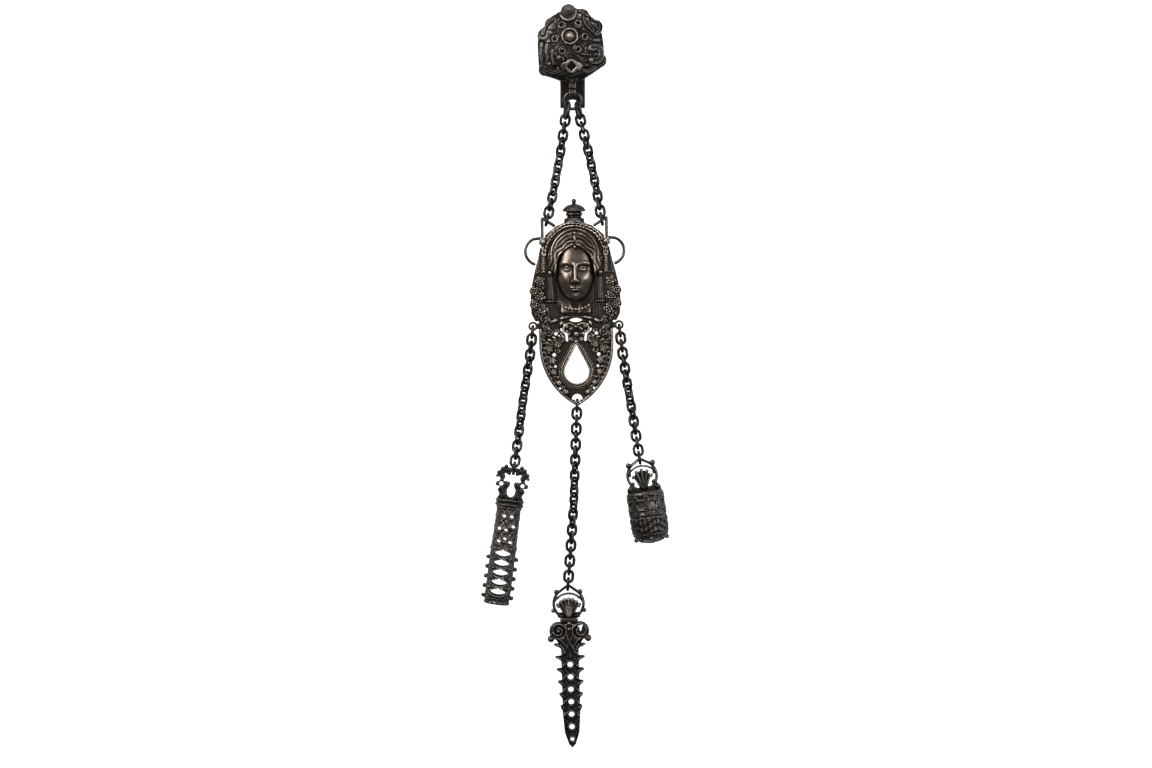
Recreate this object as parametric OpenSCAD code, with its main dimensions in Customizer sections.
// Chatelaine with a domed boss on a belt hook, a pierced plaque with a head in relief,
// and a needle case, a scissor sheath and a thimble bucket on chains.
// It lies on its back: +Z is its front, +Y points up to the belt.

/* [Chains] */
// Diameter of a link's wire
link_wire = 1.3; // [1:0.05:1.4]
// Clear width inside a link
link_gap = 2.4; // [2.2:0.1:2.8]
// Step from one link to the next
link_pitch = 4; // [3.7:0.1:4.6]
// Upper chains, from the ring down to the plaque's side wires
upper_drop = 58; // [45:1:80]
// Left chain, from its eyelet to the needle case
left_chain = 71; // [55:1:100]
// Middle chain, from the shield's tip to the scissor sheath
middle_chain = 91.7; // [80:0.1:110]
// Right chain, from its eyelet to the thimble bucket
right_chain = 66.5; // [55:1:100]
// Angle at which the left chain lies out
left_splay = 7.5; // [6:0.5:12]
// Angle at which the right chain lies out
right_splay = 8.6; // [7:0.2:13]
// Angle at which the middle chain lies to the left
middle_splay = 2.9; // [0:0.1:4]

/* [Belt hook and boss] */
// Thickness of the hook's strip and of the back plate
hook_t = 1.4; // [1:0.1:1.8]
// Width of the hook's tongue
hook_w = 12.5; // [10:0.5:14]
// Reach of the tongue below the boss's button
hook_reach = 39.5; // [37:0.5:46]
// Room between tongue and back plate for the belt
belt_gap = 4.8; // [4.4:0.1:7]
// Width of the boss
boss_w = 34.4; // [32:0.2:38]
// Height of the boss, from its lowest lobe to its highest
boss_h = 39.6; // [38:0.2:43]
// Rise of the boss's dome over its rim
boss_rise = 6.5; // [5:0.5:9]
// Wall of the boss
boss_wall = 1.4; // [1:0.1:2]
// Diameter of the button
button_d = 4.4; // [3.6:0.2:5.4]
// Outer diameter of the ring
ring_d = 10; // [9.6:0.2:11]
// Diameter of the ring's wire
ring_wire = 1.6; // [1.4:0.1:1.7]

/* [Plaque] */
// Thickness of the plaque's plate
plaque_t = 1.4; // [1:0.1:1.5]
// Width of the head part
head_w = 43.2; // [42:0.2:46]
// Height of the head part
head_h = 47.1; // [46:0.1:51]
// Width of the shield
shield_w = 37; // [36:0.2:40]
// Straight sides of the shield, from its shoulders down
shield_side = 15; // [13:0.5:18]
// Height of the shield's pointed foot
shield_foot = 30.4; // [29:0.2:36]
// Clear width of the drop-shaped opening
drop_w = 12; // [10:0.2:13]
// Width of the moulded frame round the opening
frame_w = 3.1; // [2.4:0.1:3.6]
// Diameter of the rosette
rosette_d = 8.8; // [7.6:0.2:9.6]
// Hole of an eyelet
eyelet_hole = 2.6; // [2.4:0.1:3]
// Diameter of the side wires
side_wire = 1.4; // [1.2:0.1:1.8]
// Height of the face from its chin to the top of the forehead
face_h = 27.5; // [25:0.5:29]
// Height of the mask's relief over the plate
mask_rise = 8; // [6:0.5:10]

/* [Needle case] */
// Diameter of the tube
case_d = 13.4; // [12.6:0.2:15]
// Length of the tube below its collar
case_l = 49; // [44:0.5:56]
// Height of the crown over the collar
crown_h = 16; // [15:0.5:18]
// Width of the crown
crown_w = 14.3; // [13:0.1:16]
// Wall of the tube
case_wall = 0.9; // [0.7:0.1:1.3]

/* [Scissor sheath] */
// Length of the sheath's body below the handle
sheath_l = 65; // [58:1:74]
// Width of the sheath's body
sheath_w = 8.8; // [8:0.2:10]
// Thickness of the sheath
sheath_t = 4.6; // [4:0.2:5]
// Wall of the sheath
sheath_wall = 0.8; // [0.6:0.1:1]
// Height of the looped handle
handle_h = 17; // [15.5:0.5:19]

/* [Thimble bucket] */
// Diameter of the cup
cup_d = 18.6; // [18:0.2:22]
// Height of the cup
cup_h = 26; // [24:0.5:32]
// Wall of the cup
cup_wall = 1; // [0.8:0.1:1.4]
// Outer diameter of the handle's ring
bail_d = 16; // [15:0.5:18]

/* [Hidden] */
$fn = 32;

// Fits: air between seated pieces, and between the wires of two links that pull on each other
seat = 0.08;
link_play = 0.16;
eyelet_play = 0.4;
floor_play = 0.05;

// Links
link_in = link_pitch + link_play;
link_w = link_gap + 2 * link_wire;
link_l = link_in + 2 * link_wire;
hanger_wire = link_wire * 1.15;
hanger_gap = link_gap * 1.35;
hanger_in = link_in * 1.45;

// Heights over the surface
lay_z = link_w / 2 + floor_play;
plate_top = lay_z + plaque_t / 2;
back_z = hook_t + belt_gap;
boss_z = back_z + hook_t + seat;

// Plan of the plaque: y runs up from the line through the side eyelets
neck_y = 5.2;
crown_y = neck_y + head_h;
lug_x = shield_w / 2 + 3;
shoulder_y = neck_y;
foot_y = shoulder_y - shield_side;
tip_y = foot_y - shield_foot;
tip_rim = 1.8;
tip_eyelet_y = tip_y + tip_rim + eyelet_hole / 2;
rim_w = 1.1;
plaque_lean = 1;
drop_y = foot_y - 0.43 * shield_foot;
drop_apex = 1.12 * drop_w;
rosette_y = neck_y - 0.257 * shield_w;
loop_x = 0.745 * head_w / 2;
loop_y = crown_y + 1.6;
loop_r = 0.31 * head_w / 2;
crown_r = 0.8 * head_w / 2;

// Plan of the boss: its button
button_x = -3;
ring_x = -1.7;
ring_r = (ring_d - ring_wire) / 2;
ring_tilt = 13;
ring_y = loop_y + upper_drop;
hinge_y = ring_y + ring_r;
boss_low = 0.587 * boss_h;
button_y = hinge_y + 3.6 + boss_low;

function turned(p, a) = [p.x * cos(a) - p.y * sin(a), p.x * sin(a) + p.y * cos(a), p.z];
function below(p, l, a) = p + [l * sin(a), -l * cos(a), 0];
function on_plaque(p) = turned(p, plaque_lean);

eyelet_left = on_plaque([-lug_x, 0, lay_z]);
eyelet_right = on_plaque([lug_x, 0, lay_z]);
eyelet_tip = on_plaque([0, tip_eyelet_y, lay_z]);
crown_foot = [0, crown_y - crown_r, lay_z] + (crown_r + side_wire / 2 + 0.1 + seat) * [-sin(34), cos(34), 0];
loop_mid = [-0.83 * head_w / 2, neck_y + 0.68 * head_h, lay_z];
hooked = 0.6 * [-loop_x, loop_y, lay_z] + 0.4 * crown_foot;
loop_left = on_plaque(hooked);
loop_right = on_plaque([-hooked.x, hooked.y, hooked.z]);

// Pendants: the top of each handle's wire and how the pendant leans
bail_wire = 1.8;
hook_room = 0.4;
case_z = case_d / 2 + 0.55 + floor_play;
cup_z = 1.05 * cup_d / 2 + floor_play;
case_top = below(eyelet_left, left_chain, -left_splay) + [0, 0, case_z - lay_z];
sheath_top = below(eyelet_tip, middle_chain, -middle_splay);
bucket_top = below(eyelet_right, right_chain, right_splay) + [0, 0, cup_z - lay_z];
sheath_lean = 1.6;

// The whole thing's middle, which goes over the origin
collar_h = 3.6;
stud_r = 1.15;
case_low = crown_h + collar_h + case_l;
sheath_low = handle_h + sheath_l;
left_edge = (case_top + turned([-case_d / 2 - stud_r, -case_low + 11.5, 0], -left_splay)).x - 1.4;
right_edge = (bucket_top + turned([cup_d / 2 + 0.8, -bail_d - cup_h + 9, 0], right_splay)).x - 0.06;
top_edge = button_y + 0.413 * boss_h;
low_edge = (sheath_top + turned([0, -sheath_low, 0], sheath_lean)).y - 0.17;
middle = [(left_edge + right_edge) / 2, (top_edge + low_edge) / 2, 0];

steel_dark = [0.16, 0.14, 0.13];
steel_brown = [0.33, 0.27, 0.22];
steel_worn = [0.55, 0.48, 0.41];

// Placing
module placed() { translate(-middle) children(); }
module on_plaque_frame() { placed() rotate([0, 0, plaque_lean]) children(); }
module case_frame() { placed() translate(case_top) rotate([0, 0, -left_splay]) children(); }
module sheath_frame() { placed() translate(sheath_top) rotate([0, 0, sheath_lean]) children(); }
module bucket_frame() { placed() translate(bucket_top) rotate([0, 0, right_splay]) children(); }
module boss_frame() { placed() translate([button_x, button_y, 0]) children(); }
module both_sides() { children(); mirror([1, 0, 0]) children(); }
module slab(z0, z1) { translate([0, 0, z0]) linear_extrude(z1 - z0) children(); }

// Flat shapes
module hoop(r, w) {
  difference() {
    circle(r + w / 2);
    circle(r - w / 2);
  }
}

module arc(r, w, a) {
  far = 2 * (r + w);
  intersection() {
    hoop(r, w);
    polygon(concat([[0, 0]], [for (k = [0:4]) far * [cos(a * k / 4), sin(a * k / 4)]]));
  }
}

// A band of width w that starts at the origin along +X and turns through a list of
// [radius, angle] arcs, to the left for positive angles and to the right for negative ones
module band(w, arcs, i = 0) {
  if (i == 0) circle(d = 1.05 * w);
  if (i < len(arcs)) {
    r = arcs[i][0];
    a = abs(arcs[i][1]);
    flip = arcs[i][1] < 0 ? 1 : 0;
    mirror([0, flip]) translate([0, r]) {
      rotate(-90) arc(r, w, a);
      rotate(a) translate([0, -r]) {
        circle(d = 1.05 * w);
        mirror([0, flip]) band(w, arcs, i + 1);
      }
    }
  }
}

module petals(n, r, petal_r) {
  circle(r);
  for (k = [0:n - 1]) rotate(k * 360 / n) translate([r, 0]) circle(petal_r);
}

// Round wires
module wire_arc(r, d, a) { rotate_extrude(angle = a) translate([r, 0]) circle(d = d); }

module wire_bar(p, q, d) {
  v = q - p;
  l = norm(v);
  translate(p) rotate([0, acos(v.z / l), atan2(v.y, v.x)]) cylinder(h = l, d = d);
}

// One link along X, flat in the XY plane
module link(wire, gap, inside) {
  r = (gap + wire) / 2;
  bar = inside + wire - 2 * r;
  for (side = [0, 180]) rotate([0, 0, side]) {
    translate([bar / 2, 0, 0]) rotate([0, 0, -90]) wire_arc(r, wire, 180);
    translate([-bar / 2, r, 0]) rotate([0, 90, 0]) cylinder(h = bar, d = wire);
  }
}

// A thing that lies from p to q and is rolled about that line
module laid(p, q, roll) {
  v = q - p;
  translate((p + q) / 2)
    rotate([0, 0, atan2(v.y, v.x)])
      rotate([0, -asin(v.z / norm(v)), 0])
        rotate([roll, 0, 0])
          children();
}

// The chains' routes: share along, share sideways, and height as a share from start to end
upper_route = [[0, 0, 0], [0.12, 0.004, 0.35], [0.35, 0.012, 1], [0.7, 0.012, 1], [1, 0, 1]];
left_route = [[0, 0, 0], [0.2, 0.006, 0], [0.5, -0.002, 0], [0.7, 0, 0.08], [0.84, 0, 0.6], [0.93, 0, 0.98], [1, 0, 1]];
middle_route = [[0, 0, 0], [0.25, 0.004, 0], [0.55, 0.009, 0], [0.8, 0.005, 0], [1, 0, 0]];
right_route = [[0, 0, 0], [0.2, -0.005, 0], [0.45, -0.005, 0], [0.62, 0, 0.07], [0.8, 0, 0.55], [0.92, 0, 0.98], [1, 0, 1]];

function route_points(p, q, route) =
  let (v = q - p, side = [-v.y, v.x, 0])
  [for (s = route) [p.x, p.y, 0] + s[0] * [v.x, v.y, 0] + s[1] * side + [0, 0, p.z + s[2] * v.z]];

function run(pts, i = 0) = i > len(pts) - 2 ? 0 : norm(pts[i + 1] - pts[i]) + run(pts, i + 1);

function at(pts, s, i = 0) =
  let (l = norm(pts[i + 1] - pts[i]))
  s <= l || i == len(pts) - 2 ? pts[i] + (pts[i + 1] - pts[i]) * s / l : at(pts, s - l, i + 1);

// Each link stands a quarter turn from the last, and the last one stands upright on edge. Between
// its ends a chain twists: there and back where the count suits that, and once over where not.
function twist(suits, t) = suits ? 40 * sin(180 * t) : 90 * (3 - 2 * t) * t * t;

module chain(p, q, route, first = 90) {
  pts = route_points(p, q, route);
  whole = run(pts);
  n = ceil(whole / link_pitch - 0.001);
  step = whole / n;
  suits = (first + 90 * (n - 1)) % 180 == 90;
  for (i = [0:n - 1])
    laid(at(pts, i * step), at(pts, (i + 1) * step), first + 90 * i + twist(suits, i / max(1, n - 1)))
      link(link_wire, link_gap, link_in);
}

// Where a chain starts in an eyelet, and where it ends round a wire whose far side lies l beyond q
function toward(p, q) = (q - p) / norm(q - p);
function flat_step(p, q, l) = p + l * concat(toward([p.x, p.y], [q.x, q.y]), [0]);
function start_at_eyelet(p, q) = flat_step(p, q, eyelet_hole / 2 - eyelet_play + link_play / 2);
function end_round(p, q, l) = flat_step(q, p, -l - link_play / 2);

// Belt hook and back plate
// Its edge as shares of the boss's width and height, and the lobes that stand out of it
boss_edge = [[-0.166, 0.316], [0.073, 0.364], [0.183, 0.354], [0.256, 0.318], [0.305, 0.26], [0.358, 0.225],
             [0.462, 0.043], [0.483, -0.068], [0.494, -0.197], [0.477, -0.361], [0.34, -0.444], [0.183, -0.53],
             [-0.128, -0.548], [-0.267, -0.505], [-0.392, -0.475], [-0.451, -0.391], [-0.462, -0.227],
             [-0.471, -0.068], [-0.424, 0.104], [-0.369, 0.131], [-0.276, 0.253]];
boss_lobes = [[-0.023, 0.326, 0.11], [0.172, 0.262, 0.11], [0.375, 0.128, 0.1], [0.43, -0.288, 0.1],
              [0.015, -0.43, 0.162], [-0.362, -0.402, 0.095], [-0.375, 0.02, 0.098], [-0.27, 0.16, 0.1]];

module boss_outline() {
  polygon([for (e = boss_edge) [e[0] * boss_w, e[1] * boss_h]]);
  for (l = boss_lobes) translate([l[0] * boss_w, l[1] * boss_h]) circle(l[2] * boss_w);
}

module belt_hook() color(steel_dark) {
  hook_x = ring_x - button_x;
  bend_y = 0.21 * boss_h;
  bend_r = belt_gap / 2;
  knuckle_w = 0.85;
  boss_frame() {
    slab(back_z, back_z + hook_t) translate([0.001 * boss_w, -0.001 * boss_h]) scale(0.95) boss_outline();
    slab(back_z, back_z + hook_t) translate([hook_x - hook_w / 2, 0]) square([hook_w, bend_y]);
    translate([hook_x - hook_w / 2, bend_y, hook_t + bend_r]) rotate([90, 0, 90])
      linear_extrude(hook_w) difference() {
        translate([0, 0]) circle(bend_r + hook_t);
        circle(bend_r);
        translate([-2 * belt_gap, -2 * belt_gap]) square([2 * belt_gap, 4 * belt_gap]);
      }
    slab(0, hook_t) difference() {
      union() {
        translate([hook_x - hook_w / 2, hook_w / 2 - hook_reach]) square([hook_w, bend_y + hook_reach - hook_w / 2]);
        translate([hook_x, hook_w / 2 - hook_reach]) circle(d = hook_w);
      }
      translate([hook_x, hook_w / 2 - hook_reach]) circle(d = 0.52 * hook_w);
    }
  }
  hinge_z = back_z + hook_t / 2;
  placed() translate([ring_x, hinge_y, hinge_z]) for (k = [-1:1])
    translate([k * 1.4 * knuckle_w - knuckle_w / 2, 0, 0]) rotate([90, 0, 90])
      linear_extrude(knuckle_w) difference() {
        union() {
          circle(ring_wire / 2 + 1.3);
          translate([0, -hook_t / 2]) square([6.5, hook_t]);
        }
        circle(ring_wire / 2 + 0.6);
      }
}

// Boss: a hollow dome cut to the lobed outline, with scrolls and eyes laid on it
boss_reach = 0.56 * boss_h;
ball_r = (boss_reach * boss_reach + boss_rise * boss_rise) / (2 * boss_rise);
ball_mid = [0.026 * boss_w, -0.088 * boss_h, 0];
skirt_h = 2.6;
ball_z = boss_z + skirt_h + boss_rise - ball_r;
relief_h = 0.8;

module boss_prism(share) {
  slab(boss_z, boss_z + skirt_h + boss_rise + 3) scale(share) boss_outline();
}

module boss_ball(over) {
  translate(ball_mid + [0, 0, ball_z]) rotate([90, 0, 0]) sphere(ball_r + over, $fn = 96);
}

// Puts what stands on the XY plane on the dome, over the point [x, y]
module on_dome(x, y) {
  away = [x - ball_mid.x, y - ball_mid.y];
  turn = atan2(away.y, away.x);
  translate(ball_mid + [0, 0, ball_z]) rotate([0, 0, turn]) rotate([0, asin(norm(away) / ball_r), 0])
    translate([0, 0, ball_r]) rotate([0, 0, -turn]) slab(-0.5, relief_h) children();
}

// Scrolls, each a start, a heading, a width and its arcs, with lengths as shares of the boss's width
scrolls = [[[-0.1, 0.28], 40, 0.044, [[0.1, -80]]],
           [[0.2, 0.22], -10, 0.05, [[0.087, -95], [0.064, 60]]],
           [[0.33, -0.12], 10, 0.044, [[0.058, -190], [0.044, 60], [0.058, -170]]],
           [[-0.37, -0.1], -70, 0.046, [[0.116, -60], [0.1, 70]]],
           [[-0.28, -0.19], -80, 0.044, [[0.105, -50], [0.087, 80]]],
           [[-0.33, 0.15], -60, 0.038, [[0.087, 110]]],
           [[0.16, -0.56], 20, 0.038, [[0.07, 120]]],
           [[-0.2, -0.53], 100, 0.038, [[0.07, 120]]]];

module lozenge_ring() {
  difference() {
    union() {
      circle(0.107 * boss_w);
      both_sides() translate([0.096 * boss_w, 0]) circle(0.067 * boss_w);
    }
    rotate(45) square(0.087 * boss_w, center = true);
  }
}

module boss() color(steel_brown) boss_frame() {
  eye_ring = 0.215 * boss_w;
  difference() {
    union() {
      intersection() {
        boss_prism(1);
        boss_ball(0);
      }
      for (s = scrolls) on_dome(s[0].x * boss_w, s[0].y * boss_w)
        rotate(s[1]) band(s[2] * boss_w, [for (a = s[3]) [a[0] * boss_w, a[1]]]);
      for (k = [0:5]) on_dome(eye_ring * cos(60 * k), eye_ring * sin(60 * k)) hoop(0.038 * boss_w, 0.032 * boss_w);
      on_dome(0, 0) hoop(0.11 * boss_w, 0.028 * boss_w);
      on_dome(0.023 * boss_w, -0.43 * boss_w) lozenge_ring();
    }
    intersection() {
      translate([0, 0, -seat]) boss_prism(0.91);
      boss_ball(-boss_wall);
    }
    translate([0, 0, boss_z]) cylinder(d = 0.5 * button_d, h = ball_r);
  }
}

module boss_button() color(steel_worn) boss_frame() {
  base_z = ball_z + ball_r + 0.02;
  translate([0, 0, base_z]) {
    cylinder(d = button_d, h = 0.9);
    translate([0, 0, 0.5]) intersection() {
      sphere(d = 0.86 * button_d);
      cylinder(d = button_d, h = button_d);
    }
  }
  translate([0, 0, back_z + hook_t + seat]) cylinder(d = 0.5 * button_d - 2 * seat, h = base_z - boss_z + 0.5);
}

// Ring, its hangers and the upper chains
ring_at = [ring_x, hinge_y, back_z + hook_t / 2];
ring_low = [ring_x, hinge_y - ring_r * cos(ring_tilt), ring_at.z - ring_r * sin(ring_tilt)];

module top_ring() color(steel_dark) placed() translate(ring_at) rotate([ring_tilt, 0, 0])
  translate([0, -ring_r, 0]) wire_arc(ring_r, ring_wire, 360);

function on_ring(a) = ring_low + ring_r * [cos(a), sin(a) * cos(ring_tilt), (sin(a)) * sin(ring_tilt)];

hanger_from_left = on_ring(232);
hanger_from_right = on_ring(308);

function hanger_start(p, q) = p - (ring_wire / 2 + 2.5 * link_play) * toward(p, q);
function hanger_end(p, q) = hanger_start(p, q) + (hanger_in - link_play) * toward(p, q);

module hanger(p, q, roll) color(steel_dark) placed()
  laid(hanger_start(p, q), hanger_end(p, q), roll) link(hanger_wire, hanger_gap, hanger_in);

module hanger_left() hanger(hanger_from_left, loop_left, 70);
module hanger_right() hanger(hanger_from_right, loop_right, 110);

module upper_chain(p, q) color(steel_dark) placed()
  chain(hanger_end(p, q), end_round(p, q, 0.85 * side_wire), upper_route, 0);

module chain_upper_left() upper_chain(hanger_from_left, loop_left);
module chain_upper_right() upper_chain(hanger_from_right, loop_right);

// Plaque
module gothic_foot(w, h) {
  r = (h * h + w * w / 4) / w;
  intersection() {
    translate([r - w / 2, 0]) circle(r, $fn = 96);
    translate([w / 2 - r, 0]) circle(r, $fn = 96);
    translate([-w, -2 * h]) square([2 * w, 2 * h]);
  }
}

module drop_shape(grow) {
  r = drop_w / 2 + grow;
  apex = drop_apex + 1.5 * grow;
  a = acos(r / apex);
  near = r - 0.02;
  circle(r);
  polygon([[0, apex], near * [sin(a), cos(a)], [0, 0], near * [-sin(a), cos(a)]]);
}

// Edge of the head part, as shares of half its width and of its height over the neck
head_edge = [[0.68, 0.86], [0.69, 0.79], [0.79, 0.71], [0.93, 0.48], [1, 0.34], [1.04, 0.19], [1.03, 0.02], [0.94, -0.06]];

module plaque_outline() {
  half = head_w / 2;
  translate([0, crown_y - crown_r]) circle(crown_r, $fn = 96);
  both_sides() {
    polygon(concat([[-0.1, neck_y + 0.86 * head_h]],
                   [for (e = head_edge) [e[0] * half, neck_y + e[1] * head_h]],
                   [[-0.1, neck_y - 0.06 * head_h]]));
  }
  translate([-shield_w / 2, foot_y - 0.01]) square([shield_w, shoulder_y - foot_y + 0.02]);
  translate([0, foot_y]) gothic_foot(shield_w - 0.06, shield_foot);
  both_sides() translate([lug_x, 0]) circle(eyelet_hole / 2 + rim_w);
  both_sides() translate([shield_w / 2 - 1, -rim_w - 0.3]) square([lug_x - shield_w / 2 + 1, 2 * rim_w + 0.6]);
}

module plaque_holes() {
  both_sides() translate([lug_x, 0]) circle(d = eyelet_hole);
  translate([0, tip_eyelet_y]) circle(d = eyelet_hole);
  translate([0, drop_y]) drop_shape(0);
  lens_w = 0.176 * shield_w;
  lens_r = 0.95 * lens_w;
  translate([0, neck_y - 2.4]) intersection() {
    translate([0, lens_r - 1]) circle(lens_r);
    translate([0, 1 - lens_r]) circle(lens_r);
  }
  both_sides() translate([0, rosette_y]) {
    rotate(-28) arc(0.68 * rosette_d, 1.3, 52);
    translate([0.62 * rosette_d, 0.5 * rosette_d]) circle(0.9);
    translate([1.08 * rosette_d, 0.05 * rosette_d]) circle(1);
    translate([0.3 * shield_w, -1.15 * rosette_d]) circle(1);
  }
  translate([0, tip_eyelet_y + 0.4]) intersection() {
    circle(eyelet_hole);
    translate([-eyelet_hole, 0]) square([2 * eyelet_hole, 0.7 * eyelet_hole]);
  }
}

// Sprigs beside the drop: shares of half the shield's width, of its foot's height, and radius share
sprigs = [[0.52, -0.02, 0.115], [0.74, 0.05, 0.115], [0.66, 0.25, 0.105], [0.63, 0.44, 0.095],
          [0.49, 0.62, 0.085], [0.29, 0.77, 0.07]];

module plaque() color(steel_brown) on_plaque_frame() {
  slab(lay_z - plaque_t / 2, plate_top) difference() {
    plaque_outline();
    plaque_holes();
  }
  slab(plate_top - 0.2, plate_top + 0.9) difference() {
    translate([0, foot_y - 0.2]) gothic_foot(shield_w - 0.3, shield_foot - 0.3);
    translate([0, foot_y]) gothic_foot(shield_w - 2.6, shield_foot - 2.2);
    translate([0, tip_y]) circle(tip_rim + eyelet_hole);
  }
  both_sides() for (p = sprigs) translate([-p[0] * shield_w / 2, foot_y - p[1] * shield_foot, plate_top]) {
    r = p[2] * shield_w / 2;
    slab(-0.2, 1.2) petals(6, 0.68 * r, 0.34 * r);
    slab(-0.2, 1.8) rotate(30) petals(5, 0.4 * r, 0.22 * r);
  }
}

// Rows from the neck up to the crown: share of the head part's height, share of half its width
head_rows = [[0.02, 0.40], [0.1, 0.42], [0.17, 0.43], [0.3, 0.44], [0.45, 0.46], [0.51, 0.6], [0.6, 0.64], [0.78, 0.56],
             [0.88, 0.36], [0.92, 0.2]];

function blob(x, y, cx, cy, sx, sy) = exp(-pow((x - cx) / sx, 2) - pow((y - cy) / sy, 2));
function eased(a, b, v) = let (t = min(1, max(0, (v - a) / (b - a)))) t * t * (3 - 2 * t);
function spread(u) = 0.6 * u + 0.4 * u * u * u;
function row_width(s, i = 0) =
  i >= len(head_rows) - 2 || s <= head_rows[i + 1][0]
    ? let (a = head_rows[i], b = head_rows[i + 1]) a[1] + (b[1] - a[1]) * (s - a[0]) / (b[0] - a[0])
    : row_width(s, i + 1);

// The face is built on thirds: y runs from 0 at the chin to 1 at the top of the forehead,
// and x is a share of half the face's width
function relief(xm, ym) =
  let (fw = 0.38 * face_h,
       x = abs(xm) / fw,
       y = (ym - neck_y - 0.15 * head_h) / face_h,
       edge = sqrt(x * x + pow((y - 0.52) / 0.56, 2)),
       face = 0.5 * sqrt(max(0, 1 - 0.62 * edge * edge)),
       brow = 0.05 * blob(x, y, 0.4, 0.66, 0.34, 0.045),
       socket = -0.1 * blob(x, y, 0.42, 0.575, 0.24, 0.06),
       ball = 0.085 * blob(x, y, 0.42, 0.565, 0.16, 0.038),
       bridge = 0.22 * exp(-pow(x / 0.14, 2)) * eased(0.7, 0.37, y) * eased(0.3, 0.35, y),
       wings = 0.07 * blob(x, y, 0.2, 0.35, 0.1, 0.035),
       lips = 0.085 * blob(x, y, 0, 0.22, 0.28, 0.028) + 0.085 * blob(x, y, 0, 0.165, 0.22, 0.028),
       seam = -0.05 * blob(x, y, 0, 0.193, 0.34, 0.012),
       chin = 0.09 * blob(x, y, 0, 0.05, 0.28, 0.06),
       cheek = 0.05 * blob(x, y, 0.6, 0.4, 0.25, 0.12),
       wave = y < 0.3 ? 0.16 * eased(-0.2, 0.3, y) : 0.2 + 0.035 * cos(14 * atan2(y - 0.5, x + 0.01)),
       hair = wave * exp(-pow((edge - 1.22) / 0.16, 2)))
  mask_rise * (0.2 + face + brow + socket + ball + bridge + wings + lips + seam + chin + cheek + hair);

module mask() {
  half = head_w / 2;
  rows = 46;
  cols = 34;
  y0 = neck_y + head_rows[0][0] * head_h;
  y1 = neck_y + head_rows[len(head_rows) - 1][0] * head_h;
  base = plate_top + seat;
  grid = [for (j = [0:rows]) let (y = y0 + (y1 - y0) * j / rows, w = half * row_width((y - neck_y) / head_h))
    for (i = [0:cols]) let (x = w * spread(2 * i / cols - 1)) [x, y, base + relief(x, y)]];
  function at_grid(j, i) = j * (cols + 1) + i;
  border = concat([for (i = [0:cols - 1]) at_grid(0, i)], [for (j = [0:rows - 1]) at_grid(j, cols)],
                  [for (i = [cols:-1:1]) at_grid(rows, i)], [for (j = [rows:-1:1]) at_grid(j, 0)]);
  edge = len(border);
  foot = [for (k = border) [grid[k].x, grid[k].y, base]];
  first = len(grid);
  faces = concat(
    [for (j = [0:rows - 1]) for (i = [0:cols - 1]) [at_grid(j, i), at_grid(j + 1, i), at_grid(j + 1, i + 1)]],
    [for (j = [0:rows - 1]) for (i = [0:cols - 1]) [at_grid(j, i), at_grid(j + 1, i + 1), at_grid(j, i + 1)]],
    [for (k = [0:edge - 1]) [border[k], border[(k + 1) % edge], first + (k + 1) % edge, first + k]],
    [for (k = [0:edge - 1]) [first + k, first + (k + 1) % edge, first + edge]]);
  color(steel_brown) on_plaque_frame()
    polyhedron(concat(grid, foot, [[0, (y0 + y1) / 2, base]]), faces, convexity = 8);
}

// Hood over the hair, with beaded side bands, knots and ribbed lappets
module headdress() color(steel_brown) on_plaque_frame() {
  half = head_w / 2;
  base = plate_top + seat;
  lappet = [[0.67, 0.45], [0.93, 0.45], [0.8, 0.72], [0.67, 0.74]];
  translate([0, crown_y - crown_r, base]) {
    rotate_extrude(angle = 180, $fn = 64) translate([0.67 * half, 0]) square([0.1 * half, 1.8]);
    rotate_extrude(angle = 180, $fn = 64) translate([0.7 * half, 1.7]) circle(0.036 * half);
    rotate_extrude(angle = 180, $fn = 64) translate([0.74 * half, 1.7]) circle(0.03 * half);
  }
  both_sides() {
    slab(base, base + 0.5) polygon([for (e = lappet) [e[0] * half, neck_y + e[1] * head_h]]);
    slab(base, base + 1.6) polygon([for (e = [[0.67, 0.45], [0.76, 0.45], [0.76, 0.65], [0.67, 0.65]])
      [e[0] * half, neck_y + e[1] * head_h]]);
    for (k = [0:5]) translate([0.715 * half, neck_y + (0.465 + 0.034 * k) * head_h, base + 1.6])
      sphere(r = 0.036 * half);
    for (k = [0:5]) {
      y = neck_y + (0.5 + 0.036 * k) * head_h;
      wire_bar([0.78 * half, y, base + 0.5], [(0.9 - 0.022 * k) * half, y - 0.026 * head_h, base + 0.5], 0.8);
    }
    translate([0.72 * half, neck_y + 0.78 * head_h, base]) {
      cylinder(r = 0.11 * half, h = 2.2);
      translate([0, 0, 2.2]) sphere(r = 0.07 * half);
    }
  }
}

module finial() color(steel_brown) on_plaque_frame() translate([0, crown_y + seat, lay_z - plaque_t / 2]) {
  u = head_w / 43.2;
  intersection() {
    rotate([-90, 0, 0]) rotate_extrude() polygon(u * [[0, 0], [5.1, 0], [5.1, 0.9], [3.6, 1.5], [3.4, 2.2],
      [4.2, 3], [4.4, 3.6], [3.4, 4.2], [5.8, 4.6], [5.8, 5.4], [5, 6.6], [3.4, 7.8], [1.4, 8.4], [0.7, 8.8], [0, 8.8]]);
    translate([-10 * u, -u, 0]) cube([20 * u, 14 * u, 10 * u]);
  }
  translate([0, 9.7 * u, 1.3 * u]) sphere(r = 1.3 * u);
}

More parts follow.
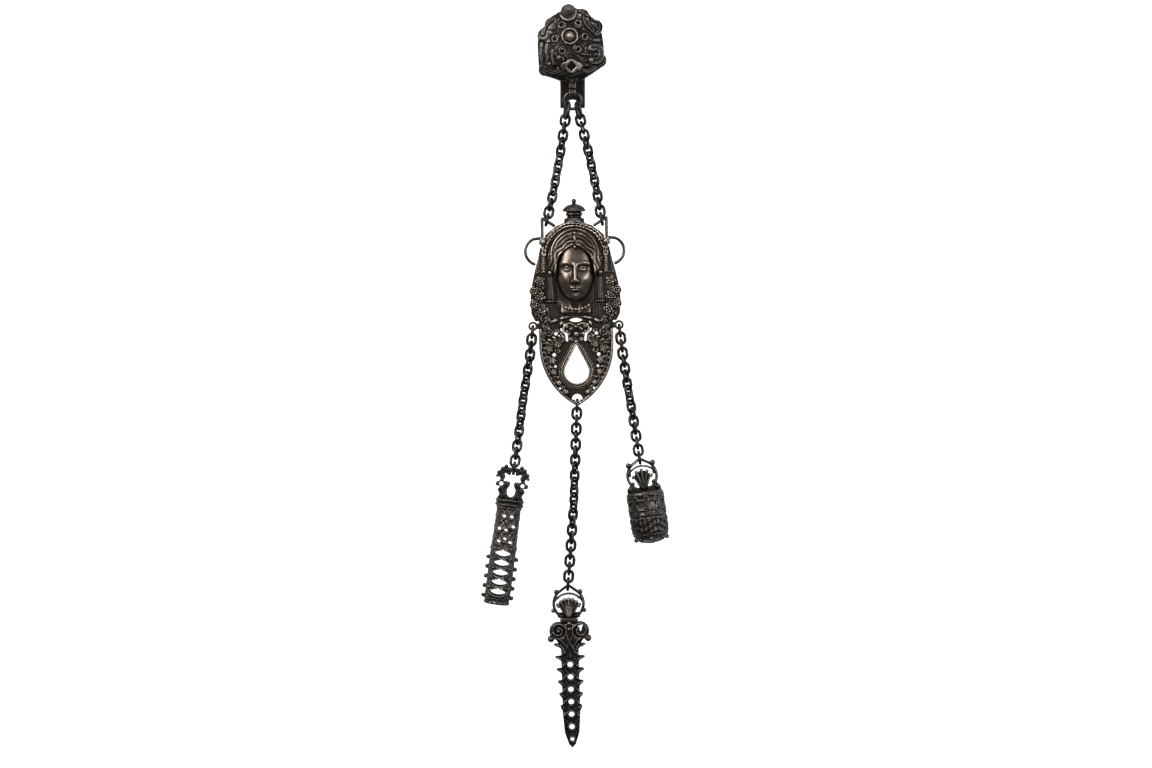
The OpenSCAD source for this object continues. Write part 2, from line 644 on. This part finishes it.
// Side wires: from the crown out to a corner, down beside the head and round a wide loop to the plate
module side_wire_half() {
  knuckle = side_wire + 0.12;
  corner = [-loop_x, loop_y, lay_z];
  heel = [-loop_x, loop_mid.y + loop_r, lay_z];
  turn = loop_mid + loop_r * [cos(105), sin(105), 0];
  wire_bar(crown_foot, corner, side_wire);
  wire_bar(corner, heel, side_wire);
  wire_bar(heel, turn, side_wire);
  for (p = [crown_foot, corner, heel, turn]) translate(p) sphere(d = knuckle);
  translate(loop_mid) rotate([0, 0, 105]) wire_arc(loop_r, side_wire, 144);
}

module side_wire_left() color(steel_dark) on_plaque_frame() side_wire_half();
module side_wire_right() color(steel_dark) on_plaque_frame() mirror([1, 0, 0]) side_wire_half();

// Fluted drops beside the face
module ear_drop_half() {
  half = head_w / 2;
  h = 0.33 * head_h;
  w = 0.1 * half;
  translate([-0.575 * half, neck_y + 0.13 * head_h, plate_top + seat]) {
    slab(0, 1.7) polygon([[-w, 0], [w, 0], [0.55 * w, h], [-0.55 * w, h]]);
    for (k = [-1:1]) wire_bar([0.64 * w * k, 0.3, 1.7], [0.36 * w * k, h - 0.4, 1.7], 0.5 * w);
    translate([0, h - 0.4, 1.8]) sphere(r = 0.6 * w);
  }
}

module ear_drop_left() color(steel_brown) on_plaque_frame() ear_drop_half();
module ear_drop_right() color(steel_brown) on_plaque_frame() mirror([1, 0, 0]) ear_drop_half();

module necklace() color(steel_worn) on_plaque_frame() {
  beads = 9;
  r = 0.75;
  for (k = [0:beads - 1]) {
    t = 2 * k / (beads - 1) - 1;
    x = 0.3 * head_w / 2 * t;
    y = neck_y + 2.7 + 1.9 * t * t;
    translate([x, y, plate_top + seat + relief(x, y) + 1.6 * r]) sphere(r = r);
  }
}

// Garlands: flowers and leaves down the plaque's sides; rows are x, y as shares of half the head part's
// width and of its height over the neck, then radius share and turn
flowers = [[0.82, 0.36, 0.12, 0], [0.95, 0.26, 0.12, 20], [0.815, 0.2, 0.12, 50], [0.95, 0.12, 0.12, 10],
           [0.77, 0.06, 0.13, 35]];
leaves = [[0.9, 0.34, 75], [0.79, 0.29, 110], [0.88, 0.16, -30], [0.8, 0.13, 200], [0.88, 0.02, -60],
          [0.66, -0.04, 230], [0.7, -0.13, 265], [0.76, -0.2, 280]];

module garland_half() {
  half = head_w / 2;
  base = plate_top + seat;
  for (f = flowers) translate([-f[0] * half, neck_y + f[1] * head_h, base]) rotate(f[3]) {
    r = f[2] * half;
    slab(0, 1.8) petals(5, 0.62 * r, 0.45 * r);
    slab(0, 2.6) rotate(36) petals(5, 0.36 * r, 0.3 * r);
    cylinder(r = 0.22 * r, h = 3.3);
  }
  for (l = leaves) translate([-l[0] * half, neck_y + l[1] * head_h, base]) rotate(l[2])
    slab(0, 1.3) translate([0.04 * half, 0]) intersection() {
      translate([0, 0.1 * half]) circle(0.17 * half);
      translate([0, -0.1 * half]) circle(0.17 * half);
    }
  slab(base, base + 0.7) {
    translate([-0.84 * half, neck_y + 0.31 * head_h]) circle(0.12 * half);
    translate([-0.84 * half, neck_y + 0.09 * head_h]) circle(0.12 * half);
    polygon([for (s = [[0.9, 0.31], [0.78, 0.31], [0.62, -0.12], [0.74, -0.2]])
      [-s[0] * half, neck_y + s[1] * head_h]]);
  }
}

module garland_left() color(steel_brown) on_plaque_frame() garland_half();
module garland_right() color(steel_brown) on_plaque_frame() mirror([1, 0, 0]) garland_half();

module rosette() color(steel_worn) on_plaque_frame() translate([0, rosette_y, plate_top + seat]) {
  r = rosette_d / 2;
  slab(0, 1.2) petals(8, 0.72 * r, 0.28 * r);
  slab(0, 2) rotate(22.5) petals(8, 0.42 * r, 0.2 * r);
  cylinder(r = 0.26 * r, h = 2.6);
  translate([0, 0, 2.6]) sphere(r = 0.22 * r);
  both_sides() slab(0, 1.2) translate([0.1 * r, 0.9 * r]) rotate(55) band(0.26 * r, [[0.75 * r, -130], [0.3 * r, -150]]);
}

module teardrop_frame() color(steel_worn) on_plaque_frame() translate([0, drop_y, plate_top + seat]) {
  room = rosette_y - drop_y - rosette_d / 2 - 0.2;
  difference() {
    union() {
      slab(0, 1.2) drop_shape(frame_w);
      slab(0, 2) drop_shape(0.74 * frame_w);
    }
    slab(-1, 3) drop_shape(0);
    slab(1.5, 3) drop_shape(0.3 * frame_w);
    translate([-drop_w, room, -1]) cube([2 * drop_w, drop_w * 3, 5]);
  }
}

module chain_left() color(steel_dark) placed()
  chain(start_at_eyelet(eyelet_left, case_top), end_round(eyelet_left, case_top, bail_wire + hook_room), left_route);

module chain_middle() color(steel_dark) placed()
  chain(start_at_eyelet(eyelet_tip, sheath_top), end_round(eyelet_tip, sheath_top, bail_wire + hook_room), middle_route);

module chain_right() color(steel_dark) placed()
  chain(start_at_eyelet(eyelet_right, bucket_top), end_round(eyelet_right, bucket_top, bail_wire + hook_room), right_route);

// Needle case, along -Y from the top of its crown
module crown_outline() {
  w = crown_w / 2;
  h = crown_h;
  body = [[0.2, 0], [0.5, -0.02], [0.84, -0.05], [1.05, -0.18], [1.02, -0.3], [0.86, -0.38], [0.98, -0.5],
          [0.84, -0.62], [0.97, -0.74], [0.8, -0.86], [0.94, -1.01]];
  hole = [[0.22, -0.26], [0.6, -0.2], [0.5, -0.33], [0.62, -0.44], [0.16, -0.45], [0.12, -0.56],
          [0.3, -0.7], [0.26, -0.84], [0.1, -0.92]];
  knobs = [[0.55, 0.01, 0.15], [0.8, -0.06, 0.13], [1.02, -0.2, 0.14], [1.08, -0.31, 0.12], [0.98, -0.55, 0.18]];
  difference() {
    union() {
      polygon(concat([for (e = body) [e.x * w, e.y * h]], [for (k = [len(body) - 1:-1:0]) [-body[k].x * w, body[k].y * h]]));
      both_sides() for (k = knobs) translate([k.x * w, k.y * h]) circle(k.z * w);
    }
    polygon(concat([[0, -bail_wire]], [for (e = hole) [e.x * w, e.y * h]],
                   [for (k = [len(hole) - 1:-1:0]) [-hole[k].x * w, hole[k].y * h]]));
    translate([0, -bail_wire - 0.85 * link_wire]) circle(0.85 * link_wire);
    both_sides() translate([0.74 * w, -0.54 * h]) circle(0.13 * w);
  }
}

module case_crown() color(steel_dark) case_frame() {
  slab(-bail_wire / 2, bail_wire / 2) crown_outline();
  translate([0, -crown_h, 0]) rotate([90, 0, 0]) difference() {
    union() {
      cylinder(d = case_d + 0.5, h = collar_h - seat);
      for (z = [0.6, collar_h - 0.8]) translate([0, 0, z]) rotate_extrude() translate([case_d / 2, 0]) circle(0.55);
    }
    translate([0, 0, 1.2]) cylinder(d = case_d - 2 * case_wall, h = collar_h);
  }
}

windows = [[0.1, 0.3, 0], [0.1, -0.25, 0], [0.23, -0.5, 0], [0.2, 0.5, 0], [0.24, 0, 0], [0.36, -0.42, 0],
           [0.36, 0.42, 0], [0.33, 0, 0]];

module case_tube() color(steel_dark) case_frame() translate([0, -crown_h - collar_h, 0]) rotate([90, 0, 0]) {
  r = case_d / 2;
  l = case_l;
  bars = 5;
  first = 0.44;
  gap = (0.93 - first) / bars;
  difference() {
    rotate_extrude() difference() {
      polygon([[0, 0], [0.94 * r, 0], [0.96 * r, 0.3 * l], [r, 0.42 * l], [r, 0.9 * l], [0.95 * r, 0.93 * l],
               [0.95 * r, l - 0.6], [0.88 * r, l], [0, l]]);
      polygon([[0, -1], [0.94 * r - case_wall, -1], [0.96 * r - case_wall, 0.3 * l], [r - case_wall, 0.42 * l],
               [r - case_wall, 0.9 * l], [0.95 * r - case_wall, 0.93 * l], [0.95 * r - case_wall, l - 1.2], [0, l - 1.2]]);
    }
    for (h = windows) translate([h[1] * r, 0, h[0] * l]) rotate([90, 0, 0]) cylinder(d = 0.28 * r, h = 4 * r, center = true);
    for (k = [0:bars - 1]) translate([0, 0, (first + gap * (k + 0.4)) * l]) rotate([90, 0, 0])
      linear_extrude(4 * r, center = true) {
        square([0.8 * r, 0.66 * gap * l], center = true);
        both_sides() translate([0.4 * r, 0]) circle(d = 0.66 * gap * l);
      }
  }
  for (k = [0:bars - 1]) for (side = [-1, 1])
    translate([side * (r + 0.35 * stud_r), 0, (first + gap * (k + 0.9)) * l]) sphere(r = stud_r);
}

// Pointed loop with its tip at the origin, round a centre at height mid, and a bar across its top
module teardrop(r, mid) {
  a = acos(r / -mid);
  translate([0, mid]) {
    circle(r);
    polygon([[0, -mid], (r - 0.02) * [sin(a), cos(a)], [0, 0], (r - 0.02) * [-sin(a), cos(a)]]);
  }
}

module loop_handle(r, mid) {
  w = bail_wire * r / -mid;
  difference() {
    teardrop(r, mid);
    translate([0, -bail_wire]) teardrop(r - w, mid + bail_wire);
    translate([0, -bail_wire - 0.85 * link_wire]) circle(0.85 * link_wire);
  }
  intersection() {
    teardrop(r, mid);
    translate([0, mid - 0.4 * r]) hoop(r, 0.6 * bail_wire);
    translate([-r, mid]) square([2 * r, r]);
  }
}

// Scissor sheath, along -Y from the top of its loop
module palmette(w, h, n) {
  tips = [for (k = [0:n - 1]) let (a = 65 * (2 * k / (n - 1) - 1)) [0.55 * w * sin(a), h * (0.38 + 0.5 * cos(a))]];
  slab(-0.4 * bail_wire, 0.8 * bail_wire) {
    polygon(concat([[-0.18 * w, 0], [0.18 * w, 0]], [for (k = [n - 1:-1:0]) tips[k]]));
    for (t = tips) translate(t) circle(0.11 * w);
  }
  for (t = tips) wire_bar([0.2 * t.x, 0.1 * h, 0.8 * bail_wire], [t.x, t.y, 0.8 * bail_wire], 0.09 * w);
}

module sheath_handle() color(steel_dark) sheath_frame() {
  u = handle_h / 17;
  slab(-bail_wire / 2, bail_wire / 2) difference() {
    union() {
      loop_handle(8.2 * u, -10 * u);
      both_sides() {
        translate([5.9 * u, -4.2 * u]) circle(1.3 * u);
        translate([7.8 * u, -13.5 * u]) circle(1.1 * u);
      }
      translate([-5.6 * u, -handle_h - 1]) square([11.2 * u, 3.6 * u]);
    }
    translate([-10 * u, -handle_h + seat - 10]) square([20 * u, 10]);
  }
  translate([0, -handle_h + seat]) palmette(10 * u, 10 * u, 7);
}

module sheath_outline(grow) {
  w = sheath_w / 2 + grow;
  l = sheath_l + grow;
  polygon([[-w, -0.18 * sheath_l], [w, -0.18 * sheath_l], [w, -0.74 * sheath_l], [0.84 * w, -0.88 * sheath_l],
           [0.4 * w, -0.97 * sheath_l], [0, -l], [-0.4 * w, -0.97 * sheath_l], [-0.84 * w, -0.88 * sheath_l],
           [-w, -0.74 * sheath_l]]);
}

module sheath_body() color(steel_dark) sheath_frame() translate([0, -handle_h - seat, 0]) {
  w = sheath_w / 2;
  zb = sheath_t / 2;
  thorns = 6;
  thorn_step = 0.0945 * sheath_l;
  difference() {
    union() {
      slab(-zb, zb) {
        sheath_outline(0);
        both_sides() {
          translate([0.62 * sheath_w, -0.1 * sheath_l]) circle(0.52 * sheath_w);
          translate([1.06 * sheath_w, -0.16 * sheath_l]) circle(0.19 * sheath_w);
          polygon([[0.2 * w, -0.08 * sheath_l], [1.9 * w, -0.13 * sheath_l], [1.32 * w, -0.19 * sheath_l],
                   [0.9 * w, -0.22 * sheath_l], [0.2 * w, -0.22 * sheath_l]]);
        }
        translate([-0.5 * sheath_w, -0.05 * sheath_l]) square([sheath_w, 0.05 * sheath_l]);
      }
      slab(-0.36 * sheath_t, 0.36 * sheath_t) both_sides() for (k = [0:thorns - 1]) {
        y = -0.2 * sheath_l - thorn_step * k;
        reach = w * (1.78 - 0.11 * k);
        polygon([[0.9 * w, y + 0.5], [reach, y], [reach, y - 1.1], [w * 1.12, y - 2], [0.9 * w, y - 3.6]]);
      }
      slab(0, zb + 0.9) for (k = [1, 2]) translate([0, -0.045 * sheath_l * k]) circle(0.13 * sheath_w);
      slab(0, zb + 0.6) both_sides() {
        translate([0.62 * sheath_w, -0.1 * sheath_l]) hoop(0.3 * sheath_w, 1.3);
        translate([0.2 * w, -0.3 * sheath_l]) rotate(66) band(1.5, [[20, 34]]);
      }
    }
    slab(sheath_wall - zb, zb - sheath_wall) {
      sheath_outline(-sheath_wall);
      translate([-w + sheath_wall, -0.2 * sheath_l]) square([sheath_w - 2 * sheath_wall, 0.22 * sheath_l]);
    }
    slab(-sheath_t, sheath_t) {
      translate([0.63 * sheath_w, -0.082 * sheath_l]) circle(0.17 * sheath_w);
      for (k = [0:6]) translate([0, -0.36 * sheath_l - 0.0955 * sheath_l * k]) circle(0.3 * w * (k == 6 ? 0.8 : 1.1));
    }
  }
}

// Thimble bucket, along -Y from the top of its handle
module bucket_handle() color(steel_dark) bucket_frame() {
  r = bail_d / 2;
  ear_x = cup_d / 2 - 1.4;
  ear_y = -bail_d - 1.4;
  ring_mid = -1.4 - bail_d / 2;
  slab(-bail_wire / 2, bail_wire / 2) difference() {
    union() {
      loop_handle(r, ring_mid);
      translate([0, ring_mid]) for (a = [10, 170, 215, 325]) rotate(a) translate([0.8 * r, 0]) circle(0.07 * bail_d);
      both_sides() {
        translate([0.76 * r, ring_mid + 0.72 * r]) circle(0.09 * bail_d);
        polygon([[0.4 * r, ear_y + 1.6], [0.8 * r, ear_y + 4.4], [ear_x + 0.6, ear_y + 1.8], [ear_x + 0.6, ear_y],
                 [0.4 * r, ear_y]]);
      }
      translate([-0.5 * r, ear_y]) square([r, 2.4]);
    }
    translate([-bail_d, ear_y - 4]) square([2 * bail_d, 4]);
  }
  translate([0, ear_y + 1.4]) palmette(0.56 * bail_d, 0.66 * bail_d, 5);
}

module bucket_body() color(steel_dark) bucket_frame() translate([0, -bail_d - 1.5, 0]) rotate([90, 0, 0]) {
  r = cup_d / 2;
  h = cup_h;
  hollows = 10;
  difference() {
    rotate_extrude() difference() {
      polygon([[0, 0], [r, 0], [1.05 * r, 0.05 * h], [r, 0.1 * h], [r, 0.38 * h], [1.03 * r, 0.42 * h], [r, 0.46 * h],
               [0.97 * r, 0.8 * h], [0.88 * r, 0.9 * h], [0.5 * r, 0.97 * h], [0, h]]);
      polygon([[0, -1], [r - cup_wall, -1], [r - cup_wall, 0.46 * h], [0.97 * r - cup_wall, 0.8 * h],
               [0.8 * r - cup_wall, 0.88 * h], [0, 0.92 * h]]);
    }
    for (k = [0:hollows - 1]) rotate(k * 360 / hollows) translate([0.94 * r, 0, 0.24 * h]) rotate([0, 90, 0])
      cylinder(d = 0.15 * h, h = r);
  }
  for (k = [0:23]) rotate(k * 15) wire_bar([0.98 * r, 0, 0.5 * h], [0.95 * r, 0, 0.77 * h], 0.1 * r);
  for (k = [0:7]) rotate(k * 45) translate([0.82 * r, 0, 0.9 * h]) sphere(r = 0.13 * r);
}

belt_hook();
boss();
boss_button();
top_ring();
hanger_left();
hanger_right();
chain_upper_left();
chain_upper_right();
side_wire_left();
side_wire_right();
finial();
plaque();
headdress();
mask();
ear_drop_left();
ear_drop_right();
necklace();
garland_left();
garland_right();
rosette();
teardrop_frame();
chain_left();
chain_middle();
chain_right();
case_crown();
case_tube();
sheath_handle();
sheath_body();
bucket_handle();
bucket_body();
